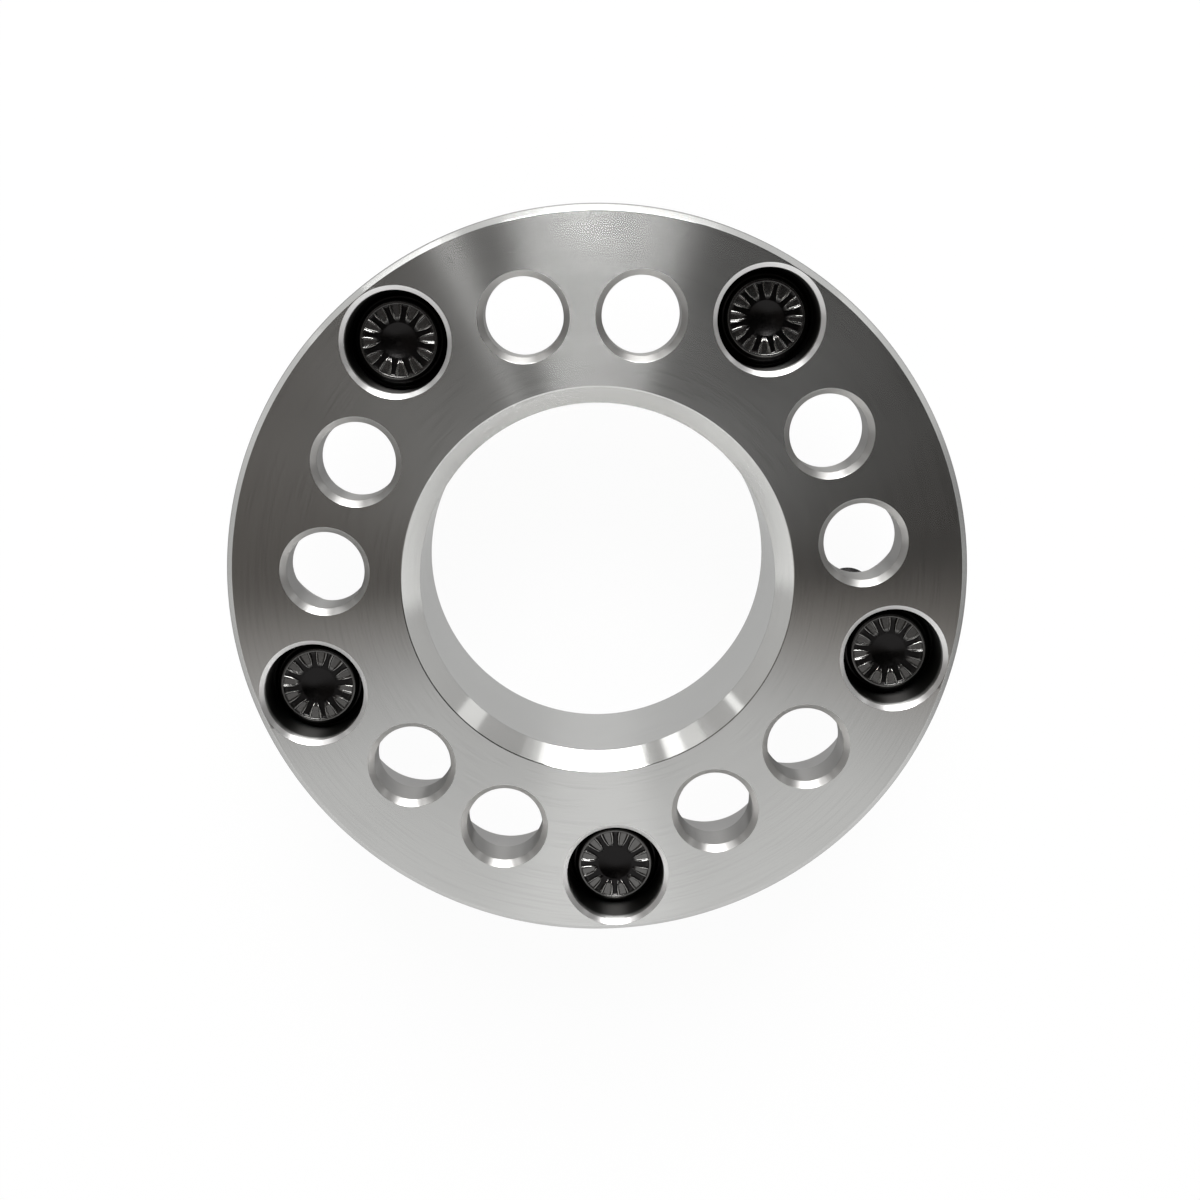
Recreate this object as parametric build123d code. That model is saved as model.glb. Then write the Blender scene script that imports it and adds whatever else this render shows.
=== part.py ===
"""Bolt-on wheel spacer: a turned aluminium disc with five press-in wheel studs.

Millimetres, +Z up. The origin is the centre of the wheel-side face, on the bore's axis.
The hub face looks up, and the studs stand out downwards. The first pair of hub holes is at +Y.
"""

import os
from math import cos, pi, radians, sin, tan

from build123d import *

# Disc
outer_diameter = 152.4
body_thickness = 31.75
rim_chamfer = 1.3
bore_diameter = 73.5
bore_chamfer = 3.6
edge_break = 0.4

# Holes for the hub's own studs, in pairs: one hole of each pair on each of two bolt circles
station_count = 5
wide_circle_diameter = 112.0
wide_circle_turn = 11.9
narrow_circle_diameter = 110.0
narrow_circle_turn = 12.6
hub_hole_diameter = 16.0
hub_hole_chamfer = 1.2
hub_hole_depth = 9.5
nut_seat_width = 2.0
nut_seat_angle = 60.0
nut_pocket_diameter = 27.0

# Wheel studs and the pockets that hold their heads
stud_circle_diameter = 127.0
thread_diameter = 12.7
thread_pitch = 1.27
thread_depth = 0.78
thread_stop = 2.5
stud_projection = 36.0
tip_chamfer = 1.6
spline_rise = 1.45
spline_depth = 0.5
spline_length = 14.0
spline_teeth = 30
spline_lead = 0.8
spline_clearance = 0.02
head_diameter = 19.0
head_height = 5.0
head_recess = 6.5
head_side_clearance = 0.85
head_pocket_chamfer = 0.9

# The forged top of a stud head
flange_height = 2.6
flange_chamfer = 0.6
flange_ledge = 1.25
crown_round = 0.5
crown_rim_width = 0.4
relief_depth = 0.5
dish_diameter = 7.2
dish_depth = 0.5
rib_count = 12
rib_width = 1.5
head_turns = (0.0, 19.0, 11.0, 4.0, 24.0)

# Sizes that follow from those above
outer_radius = outer_diameter / 2
bore_radius = bore_diameter / 2
hub_hole_radius = hub_hole_diameter / 2
nut_seat_radius = hub_hole_radius + nut_seat_width
nut_pocket_radius = nut_pocket_diameter / 2
nut_seat_top = body_thickness - hub_hole_depth
nut_pocket_top = nut_seat_top - nut_seat_width / tan(radians(nut_seat_angle / 2))
thread_radius = thread_diameter / 2
thread_root_radius = thread_radius - thread_depth
tip_radius = thread_radius - tip_chamfer
thread_lowest = -stud_projection + 1.5 * thread_pitch
thread_highest = -thread_stop - thread_depth - thread_pitch / 2
spline_radius = thread_radius + spline_rise
stud_hole_radius = spline_radius + spline_clearance
head_radius = head_diameter / 2
head_pocket_radius = head_radius + head_side_clearance
head_top = body_thickness - head_recess
head_seat = head_top - head_height
spline_bottom = head_seat - spline_length
crown_radius = head_radius - flange_ledge
dish_radius = dish_diameter / 2
relief_radius = crown_radius - crown_round - crown_rim_width
relief_floor = head_top - relief_depth
station_step = 360 / station_count

# How far a cutting tool runs past the face that it cuts, and how far the thread's ridge sits in its core
overrun = 1.0
ridge_sink = 0.1


def turned(outline):
    """A solid of revolution about Z from an outline drawn as radius across and height up."""
    return revolve(Plane.XZ * make_face(outline), Axis.Z)


def turned_corners(points):
    """A solid of revolution about Z from (radius, height) corners."""
    return turned(Polyline(*points, close=True))


def place_on_circle(solid, circle_diameter, angle):
    """Move a solid from the bore's axis to a bolt circle, at an angle from +X."""
    x = circle_diameter / 2 * cos(radians(angle))
    y = circle_diameter / 2 * sin(radians(angle))
    return Pos(x, y, 0) * solid


def blank():
    """The turned disc: bore, rim chamfers, a wide chamfer at the hub end of the bore."""
    return turned_corners(
        [
            (bore_radius + edge_break, 0),
            (outer_radius - rim_chamfer, 0),
            (outer_radius, rim_chamfer),
            (outer_radius, body_thickness - rim_chamfer),
            (outer_radius - rim_chamfer, body_thickness),
            (bore_radius + bore_chamfer, body_thickness),
            (bore_radius, body_thickness - bore_chamfer),
            (bore_radius, edge_break),
        ]
    )


def hub_hole():
    """The tool for one hub-stud hole: nut pocket, conical nut seat, hole and mouth chamfer."""
    return turned_corners(
        [
            (0, -overrun),
            (nut_pocket_radius + edge_break + overrun, -overrun),
            (nut_pocket_radius, edge_break),
            (nut_pocket_radius, nut_pocket_top),
            (nut_seat_radius, nut_pocket_top),
            (hub_hole_radius, nut_seat_top),
            (hub_hole_radius, body_thickness - hub_hole_chamfer),
            (hub_hole_radius + hub_hole_chamfer + overrun, body_thickness + overrun),
            (0, body_thickness + overrun),
        ]
    )


def stud_seat():
    """The tool for one wheel stud: press hole from the wheel face, head pocket from the hub face."""
    return turned_corners(
        [
            (0, -overrun),
            (stud_hole_radius + edge_break + overrun, -overrun),
            (stud_hole_radius, edge_break),
            (stud_hole_radius, head_seat),
            (head_pocket_radius, head_seat),
            (head_pocket_radius, body_thickness - head_pocket_chamfer),
            (head_pocket_radius + head_pocket_chamfer + overrun, body_thickness + overrun),
            (0, body_thickness + overrun),
        ]
    )


def stations(first_angle):
    """The angle of each station round the disc."""
    return [first_angle + station_step * number for number in range(station_count)]


def spacer_body():
    """The disc with its hub holes and stud seats."""
    body = blank()
    for angle in stations(90 + wide_circle_turn):
        body -= place_on_circle(hub_hole(), wide_circle_diameter, angle)
    for angle in stations(90 - narrow_circle_turn):
        body -= place_on_circle(hub_hole(), narrow_circle_diameter, angle)
    for angle in stud_angles():
        body -= place_on_circle(stud_seat(), stud_circle_diameter, angle)
    return body


def stud_angles():
    """Each wheel stud stands half a step past a pair of hub holes."""
    return stations(90 + station_step / 2)


def spline():
    """The grooved neck: a cylinder cut to V grooves along its axis, with a short lead at the lower end."""
    points = []
    for number in range(spline_teeth):
        crest = 2 * pi * number / spline_teeth
        root = crest + pi / spline_teeth
        crest_radius = spline_radius + spline_depth
        root_radius = spline_radius - spline_depth
        points.append((crest_radius * cos(crest), crest_radius * sin(crest)))
        points.append((root_radius * cos(root), root_radius * sin(root)))
    section = make_face(Polyline(*points, close=True))
    grooves = extrude(Plane.XY.offset(spline_bottom) * section, spline_length)
    cylinder = turned_corners(
        [
            (0, spline_bottom),
            (spline_radius - spline_lead, spline_bottom),
            (spline_radius, spline_bottom + spline_lead),
            (spline_radius, head_seat),
            (0, head_seat),
        ]
    )
    return cylinder & grooves


def head():
    """The forged head: flange, crown with a raised rim, a sunk ring and a dished centre."""
    shoulder = (crown_radius, head_seat + flange_height)
    crown_side = Line(shoulder, (crown_radius, head_top - crown_round))
    crown_edge = RadiusArc(crown_side @ 1, (crown_radius - crown_round, head_top), -crown_round)
    rest = Polyline(
        crown_edge @ 1,
        (relief_radius, head_top),
        (relief_radius, relief_floor),
        (0, relief_floor),
        (0, head_seat),
        (head_radius, head_seat),
        (head_radius, head_seat + flange_height - flange_chamfer),
        (head_radius - flange_chamfer, head_seat + flange_height),
        shoulder,
    )
    forging = turned([crown_side, crown_edge, rest])
    dish_curve = (dish_radius**2 + dish_depth**2) / (2 * dish_depth)
    dish = Pos(0, 0, relief_floor - dish_depth + dish_curve) * Sphere(dish_curve)
    return forging - dish


def ribs():
    """Plain radial ribs on the crown's sunk ring, as high as its rim."""
    length = relief_radius - dish_radius
    overlap = crown_rim_width / 2
    bar = Box(length + overlap, rib_width, relief_depth, align=(Align.MIN, Align.CENTER, Align.MIN))
    first = Pos(dish_radius, 0, relief_floor) * bar
    return [Rot(0, 0, 360 / rib_count * number) * first for number in range(rib_count)]


def thread_ridge():
    """The thread's ridge: a V wound round the core, with an eighth of a pitch left flat at crest and root."""
    helix = Helix(thread_pitch, thread_highest - thread_lowest, thread_root_radius)
    across = Plane(origin=helix @ 0, x_dir=(1, 0, 0), z_dir=helix % 0)
    half_crest = thread_pitch / 16
    half_root = thread_pitch * 7 / 16
    section = make_face(
        Polyline(
            (-ridge_sink, -half_root),
            (thread_depth, -half_crest),
            (thread_depth, half_crest),
            (-ridge_sink, half_root),
            close=True,
        )
    )
    return Pos(0, 0, thread_lowest) * sweep(across * section, path=helix, is_frenet=True)


def shank():
    """The stud below its splines: chamfered tip, the thread's core and ridge, and a plain neck."""
    core = turned_corners(
        [
            (0, -stud_projection),
            (tip_radius, -stud_projection),
            (thread_root_radius, -stud_projection + thread_root_radius - tip_radius),
            (thread_root_radius, -thread_stop - thread_depth),
            (thread_radius, -thread_stop),
            (thread_radius, spline_bottom),
            (0, spline_bottom),
        ]
    )
    return core + thread_ridge()


def wheel_stud():
    """One stud on the bore's axis."""
    stud = shank() + spline() + head()
    for rib in ribs():
        stud += rib
    return stud


def main():
    os.makedirs("parts", exist_ok=True)
    export_step(spacer_body(), "parts/spacer_body.step")
    stud = wheel_stud()
    for number, angle in enumerate(stud_angles()):
        turn = head_turns[number % len(head_turns)]
        placed = place_on_circle(Rot(0, 0, turn) * stud, stud_circle_diameter, angle)
        export_step(placed, f"parts/wheel_stud_{number + 1}.step")


main()
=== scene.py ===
"""Bolt-on wheel spacer, dressed for a studio photograph: a turned aluminium disc with five black wheel studs.

Metres, +Z up, hub face up. Sizes are written in millimetres and follow the part's own.
"""
import math

import bmesh
import bpy
from mathutils import Euler, Matrix, Vector


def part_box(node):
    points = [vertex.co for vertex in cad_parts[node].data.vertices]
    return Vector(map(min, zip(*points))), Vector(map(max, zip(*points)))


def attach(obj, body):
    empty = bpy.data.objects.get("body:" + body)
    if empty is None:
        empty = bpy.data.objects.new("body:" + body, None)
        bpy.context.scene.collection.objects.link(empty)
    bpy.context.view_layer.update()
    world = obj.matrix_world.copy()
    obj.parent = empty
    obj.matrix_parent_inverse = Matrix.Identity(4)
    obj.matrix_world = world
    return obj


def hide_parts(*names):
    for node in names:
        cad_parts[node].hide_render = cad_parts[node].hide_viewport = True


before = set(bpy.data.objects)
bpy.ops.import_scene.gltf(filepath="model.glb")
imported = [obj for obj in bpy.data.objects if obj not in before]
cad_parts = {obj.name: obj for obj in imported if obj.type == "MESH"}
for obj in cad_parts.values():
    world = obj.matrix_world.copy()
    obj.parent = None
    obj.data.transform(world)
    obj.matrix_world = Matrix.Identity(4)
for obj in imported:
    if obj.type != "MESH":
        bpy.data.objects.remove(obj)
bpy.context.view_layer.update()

MM = 0.001

# Disc, in millimetres
disc_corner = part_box("spacer_body")[1]
outer_radius = disc_corner[0] / MM
thickness = disc_corner[2] / MM
rim_chamfer = 1.3
bore_radius = 36.75
bore_chamfer = 3.6
edge_break = 0.4

# Hub holes: a pair at each of five stations, one on each bolt circle
stations = 5
first_station = 90
wide_circle_radius = 56.0
wide_circle_turn = 11.9
wide_first_angle = first_station + wide_circle_turn
narrow_circle_radius = 55.0
narrow_circle_turn = 12.6
narrow_first_angle = first_station - narrow_circle_turn
hub_hole_radius = 8.0
hub_hole_chamfer = 1.2
hub_hole_chamfer_depth = 1.4
hub_hole_depth = 9.5
nut_seat_width = 2.0
nut_seat_angle = 60.0
nut_pocket_radius = 13.5
nut_seat_top = thickness - hub_hole_depth
nut_pocket_top = nut_seat_top - nut_seat_width / math.tan(math.radians(nut_seat_angle / 2))

# Wheel studs and their seats
stud_circle_radius = 63.5
stud_first_angle = first_station + 180 / stations
head_radius = 9.5
head_height = 5.0
head_recess = 6.5
head_side_clearance = 0.85
head_pocket_radius = head_radius + head_side_clearance
head_pocket_chamfer = 0.9
head_pocket_chamfer_depth = 0.8
head_top = thickness - head_recess
head_seat = head_top - head_height
stud_projection = 36.0
spline_radius = 7.8
spline_teeth = 30
spline_length = 14.0
spline_lead = 0.8
spline_clearance = 0.02
spline_bottom = head_seat - spline_length
stud_hole_radius = spline_radius + spline_clearance

# A groove of the splines: its depth, and the mouth, width and ends of the bar that cuts it
groove_depth = 0.45
groove_mouth = 0.15
groove_share = 0.85
groove_run_below = 0.4
groove_gap_above = 0.01

# The rolled thread and how it meets the neck; crest and root are shares of half a pitch
thread_radius = 6.35
thread_pitch = 1.27
thread_depth = 0.78
thread_stop = -2.5
crest_share = 0.25
root_share = 0.875
tip_chamfer = 1.6
neck_overlap = 0.3
neck_step = 0.02
thread_rows = 8
thread_steps = 64

# The forged top of a stud's head
flange_height = 2.6
flange_chamfer = 0.6
flange_ledge = 1.25
crown_radius = head_radius - flange_ledge
crown_round = 0.5
crown_rim_width = 0.4
relief_radius = crown_radius - crown_round - crown_rim_width
relief_depth = 0.5
relief_floor = head_top - relief_depth
relief_slope_run = 0.2
relief_slope_rise = 0.1
dish_radius = 3.6
dish_depth = 0.5
head_turns = (0.0, 19.0, 11.0, 4.0, 24.0)

# A rib on the head: sizes in millimetres, then shares of its length, of its half width and of its height
rib_count = 12
rib_overlap = 0.2
rib_length = relief_radius - dish_radius + rib_overlap
rib_width = 2.9
rib_rise = 0.02
rib_height = relief_depth + rib_rise
rib_foot = 0.03
rib_root = 0.3
rib_point = 0.35
rib_flare = 1.04
rib_flank = 0.3
rib_hollow_reach = 0.62
rib_hollow_slope = 0.22
rib_hollow = 0.5
rib_turn_spread = 6
rib_size_spread = 0.22
rib_seed = 5

# Rounding of cut and forged edges, and the angles in degrees past which a corner stays sharp
cut_edge = 0.12
soft_edge = 0.25
rim_edge = 1.0
bore_edge = 0.4
disc_sharp_angle = 40
stud_sharp_angle = 35

# How finely curves are drawn, and how far a cutting tool runs past the face that it cuts
arc_steps = 3
disc_steps = 360
hole_steps = 128
dish_steps = 6
rib_long_steps = 16
rib_cross_steps = 40
overrun = 1.0
mouth_run = 0.6
mouth_rise = 0.03

# Distances in metres under which points are one, an edge is nothing and a point lies on the axis
same_point = 1e-6
no_edge = 1e-7
on_axis = 1e-9

# How large a ring the tool marks are drawn on, which makes them shorter, and how deep they are
face_mark_ring = 1.3
hole_mark_ring = 0.6
mark_depth = 0.03

# Small nicks in the hub face: place, length and turn, in millimetres and degrees
face_nicks = ((-25.3, 67.1, 0.8, -50), (-24.8, 66.3, 1.0, -25))
nick_width = 0.3

# Depths below the hub face at which the painted shade in the stud pockets starts to fade and is faintest
pocket_shade_full_depth = 3.0
pocket_shade_faint_depth = 0.8

# Depths below the top of a head where the painted sheen on its ribs starts and where it is full, how wide the
# edge is over which it fades towards the rim, and how deep the forging scale is
sheen_start_depth = 0.42
sheen_full_depth = 0.08
sheen_fade_width = 0.3
scale_depth = 0.03


# Small helpers


def linear(hex_colour):
    """A colour written as sRGB hex, as linear red, green, blue and alpha."""
    channels = [int(hex_colour[start:start + 2], 16) / 255 for start in (0, 2, 4)]
    return [c / 12.92 if c <= 0.04045 else ((c + 0.055) / 1.055) ** 2.4 for c in channels] + [1.0]


def add(tree, kind, inputs=None, **settings):
    """Add a node to a tree, with its settings, its values and its links.

    A node given as a value stands for its first output.
    """
    node = tree.nodes.new(kind)
    for name, value in settings.items():
        setattr(node, name, value)
    for key, value in (inputs or {}).items():
        if isinstance(value, bpy.types.Node):
            value = value.outputs[0]
        if isinstance(value, bpy.types.NodeSocket):
            tree.links.new(value, node.inputs[key])
        else:
            node.inputs[key].default_value = value
    return node


def shader_tree(owner):
    """Empty node tree of a material or a world."""
    owner.use_nodes = True
    owner.node_tree.nodes.clear()
    return owner.node_tree


def mesh_object(name, mesh):
    """Link a mesh to the scene as an object."""
    piece = bpy.data.objects.new(name, mesh)
    bpy.context.scene.collection.objects.link(piece)
    return piece


def built_mesh(name, build):
    """A mesh from a finished bmesh, with its faces pointing outwards."""
    bmesh.ops.recalc_face_normals(build, faces=build.faces)
    mesh = bpy.data.meshes.new(name)
    build.to_mesh(mesh)
    build.free()
    return mesh


def evaluated_mesh(piece):
    """The plain mesh that an object's modifiers give; the object goes."""
    result = bpy.data.meshes.new_from_object(piece.evaluated_get(bpy.context.evaluated_depsgraph_get()))
    bpy.data.objects.remove(piece)
    return result


# Turning: outlines of (radius, height, rounding) in millimetres


def eased(corners):
    """An outline whose corners are rounded, as points in metres."""
    points = []
    for number, (across, up, rounding) in enumerate(corners):
        here = Vector((across, 0, up))
        if rounding == 0:
            points.append(here * MM)
            continue
        last = corners[number - 1]
        following = corners[(number + 1) % len(corners)]
        back = (Vector((last[0], 0, last[1])) - here).normalized()
        ahead = (Vector((following[0], 0, following[1])) - here).normalized()
        half = back.angle(ahead) / 2
        centre = here + (back + ahead).normalized() * (rounding / math.sin(half))
        first = here + back * (rounding / math.tan(half)) - centre
        final = here + ahead * (rounding / math.tan(half)) - centre
        for step in range(arc_steps + 1):
            points.append((centre + first.slerp(final, step / arc_steps).normalized() * rounding) * MM)
    return points


def turned(name, corners, steps):
    """A solid turned about Z from an outline; points on the axis become poles."""
    build = bmesh.new()
    rings = []
    for point in eased(corners):
        if point.x < on_axis:
            rings.append([build.verts.new((0, 0, point.z))] * steps)
            continue
        ring = []
        for step in range(steps):
            angle = math.tau * step / steps
            ring.append(build.verts.new((point.x * math.cos(angle), point.x * math.sin(angle), point.z)))
        rings.append(ring)
    for number, ring in enumerate(rings):
        above = rings[(number + 1) % len(rings)]
        for step in range(steps):
            after = (step + 1) % steps
            corners_of_face = []
            for vertex in (ring[step], ring[after], above[after], above[step]):
                if vertex not in corners_of_face:
                    corners_of_face.append(vertex)
            if len(corners_of_face) > 2:
                build.faces.new(corners_of_face)
    return built_mesh(name, build)


# Geometry Nodes trees


def new_tree(name, sockets):
    """An empty Geometry Nodes tree with a geometry input and output and named inputs."""
    tree = bpy.data.node_groups.new(name, "GeometryNodeTree")
    tree.interface.new_socket("Geometry", in_out="INPUT", socket_type="NodeSocketGeometry")
    for socket_name, kind in sockets:
        tree.interface.new_socket(socket_name, in_out="INPUT", socket_type=kind)
    tree.interface.new_socket("Geometry", in_out="OUTPUT", socket_type="NodeSocketGeometry")
    return tree


def end_tree(tree, geometry, finish):
    """End a tree: real geometry instead of instances, with its material."""
    realized = add(tree, "GeometryNodeRealizeInstances", {"Geometry": geometry})
    finished = add(tree, "GeometryNodeSetMaterial", {"Geometry": realized, "Material": finish})
    add(tree, "NodeGroupOutput", {"Geometry": finished})


def repeat_round_tree(name, operation):
    """Repeat a tool or a feature round the axis, and cut it from the piece or join it on."""
    tree = new_tree(
        name,
        [
            ("Tool", "NodeSocketObject"),
            ("Count", "NodeSocketInt"),
            ("Circle Radius", "NodeSocketFloat"),
            ("First Angle", "NodeSocketFloat"),
            ("Turn Spread", "NodeSocketFloat"),
            ("Size Spread", "NodeSocketFloat"),
            ("Seed", "NodeSocketInt"),
            ("Finish", "NodeSocketMaterial"),
        ],
    )
    given = add(tree, "NodeGroupInput").outputs
    points = add(
        tree, "GeometryNodePoints", {"Count": given["Count"], "Position": (0, 0, 0), "Radius": MM}
    )
    # Each point goes to its place on the circle
    index = add(tree, "GeometryNodeInputIndex")
    step = add(tree, "ShaderNodeMath", {0: math.tau, 1: given["Count"]}, operation="DIVIDE")
    angle = add(
        tree, "ShaderNodeMath", {0: index, 1: step, 2: given["First Angle"]}, operation="MULTIPLY_ADD"
    )
    outward = add(tree, "ShaderNodeCombineXYZ", {"X": given["Circle Radius"]})
    place = add(
        tree, "ShaderNodeVectorRotate", {"Vector": outward, "Angle": angle}, rotation_type="Z_AXIS"
    )
    placed = add(tree, "GeometryNodeSetPosition", {"Geometry": points, "Position": place})
    # The tool turns with its place, and a little more or less at random
    less_turn = add(tree, "ShaderNodeMath", {0: given["Turn Spread"], 1: -1.0}, operation="MULTIPLY")
    twist = add(
        tree, "FunctionNodeRandomValue",
        {2: less_turn, 3: given["Turn Spread"], "Seed": given["Seed"]}, data_type="FLOAT",
    )
    turn = add(tree, "ShaderNodeMath", {0: angle, 1: twist.outputs[1]}, operation="ADD")
    rotation = add(tree, "ShaderNodeCombineXYZ", {"Z": turn})
    # Its width along Y differs at random too
    smallest = add(tree, "ShaderNodeMath", {0: 1.0, 1: given["Size Spread"]}, operation="SUBTRACT")
    largest = add(tree, "ShaderNodeMath", {0: 1.0, 1: given["Size Spread"]}, operation="ADD")
    width = add(
        tree, "FunctionNodeRandomValue", {2: smallest, 3: largest, "Seed": given["Seed"]}, data_type="FLOAT"
    )
    scale = add(tree, "ShaderNodeCombineXYZ", {"X": 1.0, "Y": width.outputs[1], "Z": 1.0})
    tool = add(tree, "GeometryNodeObjectInfo", {"Object": given["Tool"], "As Instance": True})
    instances = add(
        tree, "GeometryNodeInstanceOnPoints",
        {"Points": placed, "Instance": tool.outputs["Geometry"], "Rotation": rotation, "Scale": scale},
    )
    boolean = add(tree, "GeometryNodeMeshBoolean", operation=operation, solver="MANIFOLD")
    realized_tools = add(tree, "GeometryNodeRealizeInstances", {"Geometry": instances})
    if operation == "DIFFERENCE":
        tree.links.new(given["Geometry"], boolean.inputs["Mesh 1"])
    else:
        tree.links.new(given["Geometry"], boolean.inputs["Mesh 2"])
    tree.links.new(realized_tools.outputs[0], boolean.inputs["Mesh 2"])
    end_tree(tree, boolean, given["Finish"])
    return tree


def rolled_thread_tree():
    """A rolled thread: a grid wound into a helix, its rows following the turns of the thread."""
    tree = new_tree(
        "rolled_thread",
        [
            ("Bottom", "NodeSocketFloat"),
            ("Stop", "NodeSocketFloat"),
            ("Top", "NodeSocketFloat"),
            ("Crest Radius", "NodeSocketFloat"),
            ("Depth", "NodeSocketFloat"),
            ("Pitch", "NodeSocketFloat"),
            ("Neck Radius", "NodeSocketFloat"),
            ("Tip Chamfer", "NodeSocketFloat"),
            ("Rows Per Turn", "NodeSocketInt"),
            ("Steps Round", "NodeSocketInt"),
            ("Finish", "NodeSocketMaterial"),
        ],
    )
    known = {socket.name: socket for socket in add(tree, "NodeGroupInput").outputs}
    known["index"] = add(tree, "GeometryNodeInputIndex")
    # Each step has a name and an operation, and works on numbers, inputs of the tree and earlier steps
    steps = (
        # How many rows and columns the grid has
        ("length", "SUBTRACT", "Top", "Bottom"),
        ("pitches", "DIVIDE", "length", "Pitch"),
        ("whole_pitches", "CEIL", "pitches"),
        ("turns", "ADD", "whole_pitches", 1.0),
        ("rows", "MULTIPLY", "turns", "Rows Per Turn"),
        ("around", "ADD", "Steps Round", 1.0),
        # The row and the column of a point
        ("past_index", "ADD", "index", 0.5),
        ("row_and_part", "DIVIDE", "past_index", "around"),
        ("row", "FLOOR", "row_and_part"),
        ("row_start", "MULTIPLY", "row", "around"),
        ("column", "SUBTRACT", "index", "row_start"),
        # Its turn round the axis and its height, which climbs one pitch a turn
        ("turn", "DIVIDE", "column", "Steps Round"),
        ("angle", "MULTIPLY", "turn", math.tau),
        ("row_middle", "ADD", "row", 0.5),
        ("wound", "DIVIDE", "row_middle", "Rows Per Turn"),
        ("from_start", "SUBTRACT", "wound", 1.0),
        ("climbed", "ADD", "from_start", "turn"),
        ("free_height", "MULTIPLY_ADD", "climbed", "Pitch", "Bottom"),
        ("above_bottom", "MAXIMUM", "free_height", "Bottom"),
        ("height", "MINIMUM", "above_bottom", "Top"),
        # The thread's own radius: level at the crest and the root, straight between them
        ("pitch_part", "FRACT", "wound"),
        ("from_crest", "MULTIPLY_ADD", "pitch_part", 2.0, -1.0),
        ("across", "ABSOLUTE", "from_crest"),
        ("past_crest", "SUBTRACT", "across", crest_share),
        ("sloping", "DIVIDE", "past_crest", root_share - crest_share),
        ("off_crest", "MAXIMUM", "sloping", 0.0),
        ("flank", "MINIMUM", "off_crest", 1.0),
        ("cut_in", "MULTIPLY", "flank", "Depth"),
        ("threaded", "SUBTRACT", "Crest Radius", "cut_in"),
        # Below the stop the ridge fades in, and the neck narrows down as a cone
        ("below_stop", "SUBTRACT", "Stop", "height"),
        ("two_depths", "MULTIPLY", "Depth", 2.0),
        ("faded", "SUBTRACT", "two_depths", "below_stop"),
        ("ridge_end", "SUBTRACT", "Crest Radius", "faded"),
        ("ridge", "MINIMUM", "threaded", "ridge_end"),
        ("cone", "SUBTRACT", "Neck Radius", "below_stop"),
        ("neck", "MINIMUM", "cone", "Neck Radius"),
        ("run_out", "MAXIMUM", "ridge", "neck"),
        # The tip is chamfered
        ("tip_radius", "SUBTRACT", "Crest Radius", "Tip Chamfer"),
        ("above_tip", "SUBTRACT", "height", "Bottom"),
        ("tip", "ADD", "tip_radius", "above_tip"),
        ("radius", "MINIMUM", "run_out", "tip"),
        ("cosine", "COSINE", "angle"),
        ("sine", "SINE", "angle"),
        ("x", "MULTIPLY", "radius", "cosine"),
        ("y", "MULTIPLY", "radius", "sine"),
    )
    for name, operation, *values in steps:
        inputs = {number: known.get(value, value) for number, value in enumerate(values)}
        known[name] = add(tree, "ShaderNodeMath", inputs, operation=operation)
    grid = add(
        tree, "GeometryNodeMeshGrid",
        {"Size X": 1.0, "Size Y": 1.0, "Vertices X": known["rows"], "Vertices Y": known["around"]},
    )
    spot = add(tree, "ShaderNodeCombineXYZ", {"X": known["x"], "Y": known["y"], "Z": known["height"]})
    wrapped = add(tree, "GeometryNodeSetPosition", {"Geometry": grid.outputs["Mesh"], "Position": spot})
    merged = add(tree, "GeometryNodeMergeByDistance", {"Geometry": wrapped, "Distance": same_point})
    end_tree(tree, merged, known["Finish"])
    return tree


def run_tree(mesh, tree, **values):
    """Run a tree on a mesh with named inputs, and give back the result as a plain mesh."""
    piece = mesh_object("in_work", mesh)
    modifier = piece.modifiers.new("nodes", "NODES")
    modifier.node_group = tree
    for socket in tree.interface.items_tree:
        key = socket.name.lower().replace(" ", "_")
        if socket.in_out == "INPUT" and key in values:
            modifier[socket.identifier] = values[key]
    return evaluated_mesh(piece)


def repeat_round(
    mesh, tree, tool_mesh, finish, count=1, circle_radius=0.0, first_angle=0.0, turn_spread=0.0,
    size_spread=0.0, seed=0,
):
    """Cut a tool from a mesh, or join it on, at even steps round the axis. Millimetres and degrees."""
    tool = mesh_object("tool", tool_mesh)
    result = run_tree(
        mesh, tree, tool=tool, count=count, circle_radius=circle_radius * MM,
        first_angle=math.radians(first_angle), turn_spread=math.radians(turn_spread), size_spread=size_spread,
        seed=seed, finish=finish,
    )
    bpy.data.objects.remove(tool)
    return result


def finish_shading(mesh, sharp_degrees):
    """Smooth shading that keeps flat faces flat and real corners sharp."""
    mesh.shade_smooth()
    mesh.set_sharp_from_angle(angle=math.radians(sharp_degrees))
    piece = mesh_object("in_work", mesh)
    weighted = piece.modifiers.new("weighted", "WEIGHTED_NORMAL")
    weighted.keep_sharp = True
    weighted.weight = 80
    return evaluated_mesh(piece)


# Materials


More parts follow.
